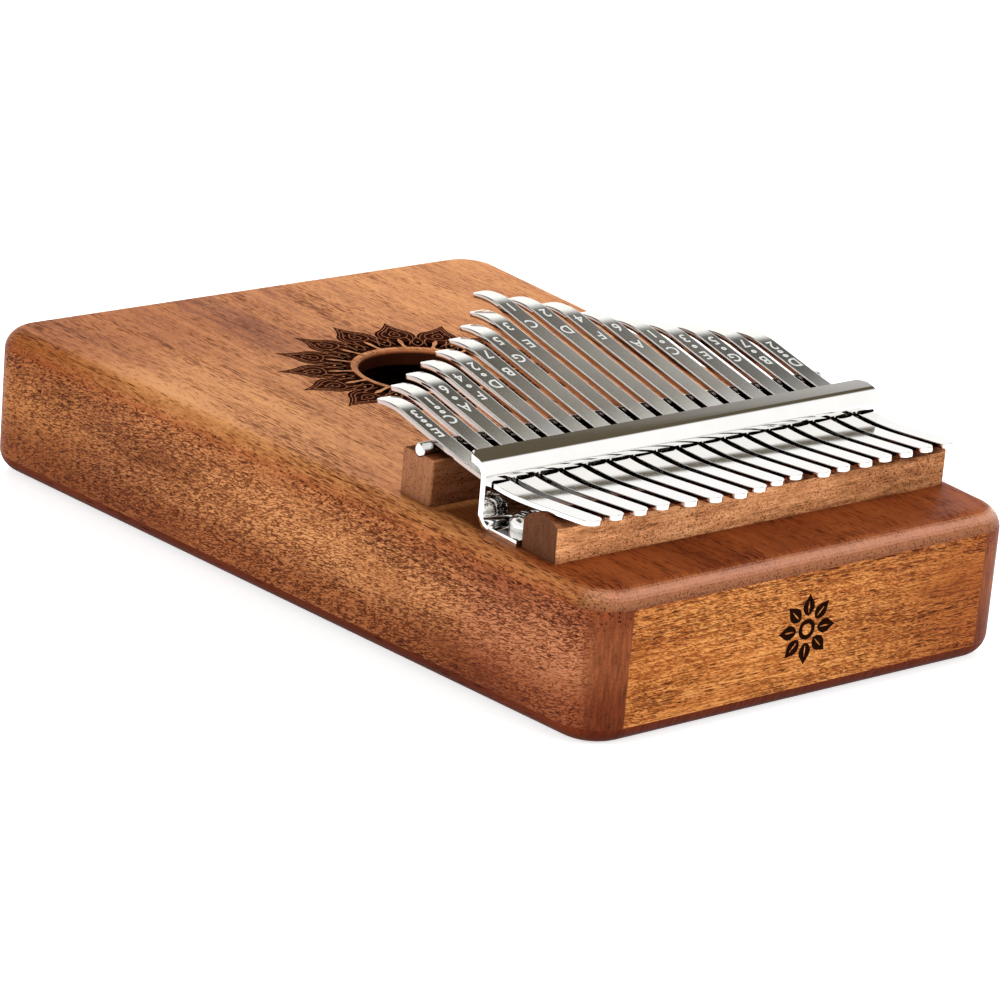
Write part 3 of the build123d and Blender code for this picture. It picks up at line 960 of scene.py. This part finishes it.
# -------------------------------------- flat shapes: (points, faces) in 2-D
@functools.lru_cache(maxsize=None)
def glyph(char, height):
    """A character as flat faces, centred."""
    curve = bpy.data.curves.new("glyph", "FONT")
    curve.body = char
    curve.size = 1.0
    curve.resolution_u = 3
    curve.fill_mode = "FRONT"
    obj = link_object("glyph", curve)
    bpy.context.view_layer.update()
    graph = bpy.context.evaluated_depsgraph_get()
    mesh = bpy.data.meshes.new_from_object(obj.evaluated_get(graph))
    points = [(v.co.x, v.co.y) for v in mesh.vertices]
    faces = [tuple(p.vertices) for p in mesh.polygons]
    bpy.data.objects.remove(obj)
    bpy.data.curves.remove(curve)
    bpy.data.meshes.remove(mesh)
    xs, ys = zip(*points)
    middle_x, middle_y = (min(xs) + max(xs)) / 2, (min(ys) + max(ys)) / 2
    scale = height / (max(ys) - min(ys))
    return [((x - middle_x) * scale, (y - middle_y) * scale) for x, y in points], faces


def ring(inner, outer, centre=(0.0, 0.0), segments=20):
    points, faces = [], []
    for k in range(segments):
        a = 2 * math.pi * k / segments
        for r in (inner, outer):
            points.append((r * math.cos(a) + centre[0], r * math.sin(a) + centre[1]))
        here, after = 2 * k, 2 * ((k + 1) % segments)
        faces.append((here, here + 1, after + 1, after))
    return points, faces


def dot(radius, angle, centre, size, segments=12):
    """A disc at a polar place round the centre."""
    cx = centre[0] + radius * math.cos(angle)
    cy = centre[1] + radius * math.sin(angle)
    turns = [2 * math.pi * k / segments for k in range(segments)]
    return ([(cx + size * math.cos(a), cy + size * math.sin(a)) for a in turns],
            [tuple(range(segments))])


def turned(points, angle, centre):
    c, s = math.cos(angle), math.sin(angle)
    return [(centre[0] + x * c - y * s, centre[1] + x * s + y * c) for x, y in points]


def strip_faces(count):
    """Quads along pairs of points."""
    return [(a, a + 1, a + 3, a + 2) for a in range(0, 2 * (count - 1), 2)]


def leaf(profile, angle, centre, steps=6):
    """A symmetric outline, smoothed: profile is (radius, half width) along its
    axis."""
    line = []
    for k in range(len(profile) - 1):
        before = profile[max(k - 1, 0)]
        after = profile[min(k + 2, len(profile) - 1)]
        for j in range(steps):
            t = j / steps
            line.append(tuple(0.5 * (2 * b + (c - a) * t + (2 * a - 5 * b + 4 * c - d) * t * t
                                     + (3 * b - a - 3 * c + d) * t**3)
                              for a, b, c, d in zip(before, profile[k], profile[k + 1], after)))
    line.append(profile[-1])
    points = []
    for r, w in line:
        w = max(w, 0.012)
        points += [(r, w), (r, -w)]
    return turned(points, angle, centre), strip_faces(len(line))


def ribbon(line, width):
    """A band of constant width along a line."""
    points = []
    for k, (x, y) in enumerate(line):
        x0, y0 = line[max(k - 1, 0)]
        x1, y1 = line[min(k + 1, len(line) - 1)]
        length = math.hypot(x1 - x0, y1 - y0) or 1
        nx, ny = -(y1 - y0) / length * width / 2, (x1 - x0) / length * width / 2
        points += [(x + nx, y + ny), (x - nx, y - ny)]
    return points, strip_faces(len(line))


def leaf_lines(profile, angle, centre, width):
    """Two ribbons along the sides of a leaf."""
    points, _ = leaf(profile, 0.0, (0, 0))
    ribbons = [ribbon(points[side::2], width) for side in (0, 1)]
    return [(turned(p, angle, centre), f) for p, f in ribbons]


def rim_edges(faces):
    """Edges used by one face only, in the order they are met."""
    edges = dict.fromkeys(e for f in faces for e in zip(f, f[1:] + f[:1]))
    return [(a, b) for a, b in edges if (b, a) not in edges]


def grown(points, faces, amount):
    """The points with the outline pushed outwards."""
    normals = {}
    for a, b in rim_edges(faces):
        (x1, y1), (x2, y2) = points[a], points[b]
        length = math.hypot(x2 - x1, y2 - y1) or 1
        for v in (a, b):
            normals.setdefault(v, []).append(((y2 - y1) / length, -(x2 - x1) / length))
    out = list(points)
    for v, around in normals.items():
        nx, ny = sum(n[0] for n in around), sum(n[1] for n in around)
        length = math.hypot(nx, ny) or 1
        out[v] = (points[v][0] + nx / length * amount, points[v][1] + ny / length * amount)
    return out


def closed_plate(name, parts, place, low, high, material):
    """A thin closed solid from flat parts: place(x, y, height) puts a point on
    its surface, low and high are the heights of its two faces."""
    points, flat = [], []
    for part_points, part_faces in parts:
        base = len(points)
        points += part_points
        flat += [tuple(base + v for v in f) for f in part_faces]

    def upward(f):
        area = sum(points[a][0] * points[b][1] - points[b][0] * points[a][1]
                   for a, b in zip(f, f[1:] + f[:1]))
        return f if area > 0 else f[::-1]

    flat = [upward(f) for f in flat]
    n = len(points)
    faces = []
    for f in flat:
        faces.append(tuple(v + n for v in f))
        faces.append(f[::-1])
    faces += [(a, b, b + n, a + n) for a, b in rim_edges(flat)]
    verts = [place(x, y, h) for h in (low, high) for x, y in points]
    return new_mesh(name, verts, faces, [material], smooth=False)


# ---------------------------------------------------------- engraved notes
CHAR_HEIGHT, CHAR_STRETCH = 2.95, 0.84
NUMBER_AT, LETTER_AT = 10.4, 17.4       # distance from the tip
DOTS_AT = {0: (), 1: (13.7,), 2: (12.9, 14.6)}
DOT_INNER, DOT_OUTER = 0.22, 0.55
# name, lower and upper height over the flat, growth of the outline, material
NOTE_LAYERS = (("rim", -0.03, 0.008, 0.23, ETCH_RIM),
               ("mark", -0.02, 0.022, 0.085, ETCH))


def engrave(i, path, number, dots, letter):
    """Number, octave dots and letter on the flat of one tine."""
    marks = [(glyph(number, CHAR_HEIGHT), NUMBER_AT, CHAR_STRETCH),
             (glyph(letter, CHAR_HEIGHT), LETTER_AT, CHAR_STRETCH)]
    marks += [(ring(DOT_INNER, DOT_OUTER), at, 1.0) for at in DOTS_AT[dots]]

    def on_tine(x, u, h):
        y, z, angle = path.at(u)
        h += THICK / 2
        return (tine_x(i) + x, y - math.sin(angle) * h, TOP + z + math.cos(angle) * h)

    for layer, low, high, growth, material in NOTE_LAYERS:
        parts = [([(x * stretch, at + y) for x, y in grown(points, faces, growth)], faces)
                 for (points, faces), at, stretch in marks]
        obj = closed_plate("note_%s_%02d" % (layer, i + 1), parts, on_tine, low, high, material)
        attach(obj, "tine_%02d" % (i + 1))


build_bracket()
for i, (tip_y, tail_y, tone, number, dots, letter) in enumerate(TINES):
    path = TinePath(tip_y, tail_y)
    build_tine(i, path, tone)
    engrave(i, path, number, dots, letter)


# ------------------------------------------------------------ burnt rosette
def on_top(x, y, h):
    return (x, y, TOP + h)


def on_head(x, z, h):
    return (-x, HEAD_Y + h, z)


def decal(name, parts, place, low, high, material):
    obj = closed_plate(name, parts, place, low, high, material)
    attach(obj, "sound_box")


HOLE = (0.0, HOLE_Y)
PETALS = 16
# outlines as (radius from the hole's centre, half width)
PETAL = ((16.4, 3.2), (18.8, 3.75), (21.6, 4.25), (23.9, 4.25), (25.5, 3.60), (26.8, 2.45),
         (28.2, 1.50), (29.8, 0.72), (31.6, 0.0))
INNER_PETAL = ((19.6, 3.05), (21.6, 3.55), (23.8, 3.55), (25.3, 2.95), (26.5, 1.95),
               (27.9, 1.08), (29.3, 0.45), (30.4, 0.0))
LARGE_ARCH = ((21.2, 0.0), (21.5, 1.6), (22.6, 2.6), (24.0, 2.7), (25.4, 1.9), (27.0, 0.80),
              (28.8, 0.0))
SMALL_ARCH = ((22.3, 0.0), (22.6, 0.8), (23.4, 1.15), (24.3, 0.95), (25.4, 0.35), (26.0, 0.0))
BUD = ((16.3, 0.0), (17.2, 0.75), (18.6, 1.15), (20.2, 0.9), (21.6, 0.3), (22.4, 0.0))
DROP = ((15.1, 0.52), (16.6, 0.34), (17.6, 0.40), (18.8, 0.52), (19.8, 0.36), (20.9, 0.0))
# a line beside each petal's axis: (radius, distance from the axis)
STALK = ((17.0, 1.5), (18.6, 2.2), (20.4, 2.35), (21.6, 2.0))


def build_rosette():
    """A burnt ring of petals, lighter lines on it, and spots left bare."""
    burn = [ring(15.35, 18.8, HOLE, segments=96)]
    lines, bare = [], []
    for k in range(PETALS):
        axis = 2 * math.pi * k / PETALS
        between = axis + math.pi / PETALS
        burn.append(leaf(PETAL, axis, HOLE))
        for profile, angle, width in ((INNER_PETAL, axis, 0.20), (LARGE_ARCH, axis, 0.26),
                                      (SMALL_ARCH, axis, 0.24), (BUD, between, 0.26)):
            lines += leaf_lines(profile, angle, HOLE, width)
        lines.append(dot(24.0, axis, HOLE, size=0.30))
        bare.append(leaf(DROP, axis, HOLE))
        bare.append(dot(18.7, between, HOLE, size=0.30))
        for side in (-1, 1):
            bare.append(dot(20.2, axis + side * 0.115, HOLE, size=0.19, segments=8))
            bare.append(dot(25.6, axis + side * 0.050, HOLE, size=0.15, segments=8))
            stalk = turned([(r, side * w) for r, w in STALK], axis, HOLE)
            lines.append(ribbon(stalk, 0.26))
    decal("rosette_burn", burn, on_top, -0.05, 0.010, BURNT)
    decal("rosette_lines", lines, on_top, -0.04, 0.018, SCORCH)
    decal("rosette_bare", bare, on_top, -0.03, 0.026, W_TOP)


# ------------------------------------------------------------- head emblem
EMBLEM = (-1.0, 15.4)                   # -x and z of its centre
EMBLEM_LEAVES = 8
# (radius, half width)
EMBLEM_LEAF = ((2.7, 0.0), (3.2, 0.85), (4.3, 1.45), (5.4, 1.25), (6.4, 0.55), (7.2, 0.0))
EMBLEM_VEIN = ((3.4, 0.06), (4.4, 0.14), (5.6, 0.06))


def build_emblem():
    """A ring of leaves burnt into the head wall, with bare veins."""
    marks, veins = [ring(1.15, 2.1, EMBLEM, segments=40)], []
    for k in range(EMBLEM_LEAVES):
        angle = 2 * math.pi * k / EMBLEM_LEAVES + math.pi / 2
        marks.append(leaf(EMBLEM_LEAF, angle, EMBLEM))
        veins.append(leaf(EMBLEM_VEIN, angle, EMBLEM, steps=3))
    decal("head_emblem", marks, on_head, -0.05, 0.012, CHAR)
    decal("head_emblem_veins", veins, on_head, -0.03, 0.022, W_PANEL)


build_rosette()
build_emblem()

# ----------------------------------------------------------- floor and world
FLOOR_HALF = 6.0                        # metres
FLOOR_Z = -0.0002                       # metres
FLOOR_GREY = 0.80
FLOOR_GLOW = 0.62                       # seen by all rays but diffuse ones
WORLD_SOFT = 0.42                       # world brightness for diffuse light


def floor_material():
    net = MaterialNet("floor_white")
    cloud = net.noise(net.coord, scale=3.0, detail=3.0)
    level = cloud.linear(0.3, 0.7, low=0.985, high=1.0)
    color = net.join(*[level * FLOOR_GREY for _ in range(3)])
    diffuse_ray = net.add("ShaderNodeLightPath", "Is Diffuse Ray")
    return net.surface(color, 0.9, **{
        "Emission Color": (1, 1, 1, 1), "Specular IOR Level": 0.0,
        "Emission Strength": net.mix_float(diffuse_ray, FLOOR_GLOW, 0.0)})


def build_floor():
    material = floor_material()
    mesh = bpy.data.meshes.new("floor")
    corners = [(sx * FLOOR_HALF, sy * FLOOR_HALF, 0)
               for sx, sy in ((-1, -1), (1, -1), (1, 1), (-1, 1))]
    mesh.from_pydata(corners, [], [(0, 1, 2, 3)])
    mesh.materials.append(material)
    floor = link_object("floor", mesh)
    floor.location.z = FLOOR_Z


def build_world():
    """White to the camera, even and soft for diffuse light. Polished metal
    mirrors white with a dark olive band above the -Y side."""
    world = bpy.data.worlds.new("studio")
    bpy.context.scene.world = world
    world.use_nodes = True
    net = Net(world.node_tree, "ShaderNodeOutputWorld")
    _, y, z = net.split(net.add("ShaderNodeTexCoord", "Generated"))
    dark_band = z.fade(0.50, 0.585) * y.fade(0.0, -0.18)
    mirror = net.mix(dark_band, (1.05, 1.05, 1.05), (0.105, 0.086, 0.056))
    mirror = net.mix(z.fade(0.79, 0.88), mirror, (1.0, 1.0, 1.0))
    glossy_ray = net.add("ShaderNodeLightPath", "Is Glossy Ray")
    color = net.mix(glossy_ray, (WORLD_SOFT,) * 3, mirror)
    color = net.mix(glossy_ray.other("Is Camera Ray"), color, (1, 1, 1))
    background = net.add("ShaderNodeBackground", 0, {0: color, 1: 1.0})
    net.put(net.output.inputs["Surface"], background)


build_floor()
build_world()

# ------------------------------------------------------------------ lights
# name, place, target (both metres), side of the square (metres), watts
LIGHTS = (
    ("key_back", (-0.42, -0.72, 0.42), (0, 0.0, 0.03), 0.42, 10.0),
    ("fill_front", (-0.30, 1.0, 0.42), (0, 0.06, 0.02), 0.6, 6.0),
    ("fill_side", (1.0, 0.25, 0.40), (0.05, 0, 0.02), 0.6, 6.0),
)
for name, place, target, size, watts in LIGHTS:
    light = bpy.data.lights.new(name, "AREA")
    light.shape = "RECTANGLE"
    light.size = size
    light.size_y = size
    light.energy = watts
    light.spread = math.radians(180)
    lamp = link_object(name, light)
    lamp.location = place
    lamp.rotation_euler = (Vector(target) - Vector(place)).to_track_quat("-Z", "Y").to_euler()
    lamp.visible_glossy = False

# ------------------------------------------------------------------ camera
AZIMUTH, ELEVATION, ROLL = (math.radians(v) for v in (139.227, 19.354, 4.977))
AIM = Vector((0, 0, 17.0))
DISTANCE = 925.37
OFFSET_RIGHT, OFFSET_UP = -1.691, -5.51
SENSOR, LENS = 36.0, 163.422
SHIFT_X, SHIFT_Y = 0.0048, -0.0003      # fractions of the frame


def build_camera():
    backward = Vector((math.sin(AZIMUTH) * math.cos(ELEVATION),
                       -math.cos(AZIMUTH) * math.cos(ELEVATION), math.sin(ELEVATION)))
    level_right = Vector((math.cos(AZIMUTH), math.sin(AZIMUTH), 0.0))
    level_up = backward.cross(level_right)
    right = level_right * math.cos(ROLL) + level_up * math.sin(ROLL)
    up = -level_right * math.sin(ROLL) + level_up * math.cos(ROLL)
    camera = bpy.data.cameras.new("camera")
    camera.sensor_width = SENSOR
    camera.lens = LENS
    camera.shift_x = SHIFT_X
    camera.shift_y = SHIFT_Y
    camera.clip_start = 0.01
    obj = link_object("camera", camera)
    matrix = Matrix((right, up, backward)).transposed().to_4x4()
    matrix.translation = (AIM + backward * DISTANCE + right * OFFSET_RIGHT
                          + up * OFFSET_UP) * MM
    obj.matrix_world = matrix
    bpy.context.scene.camera = obj


build_camera()

scene = bpy.context.scene
scene.view_settings.view_transform = "Standard"
scene.view_settings.look = "None"
scene.view_settings.exposure = 0.0
scene.cycles.use_denoising = True
scene.cycles.max_bounces = 8
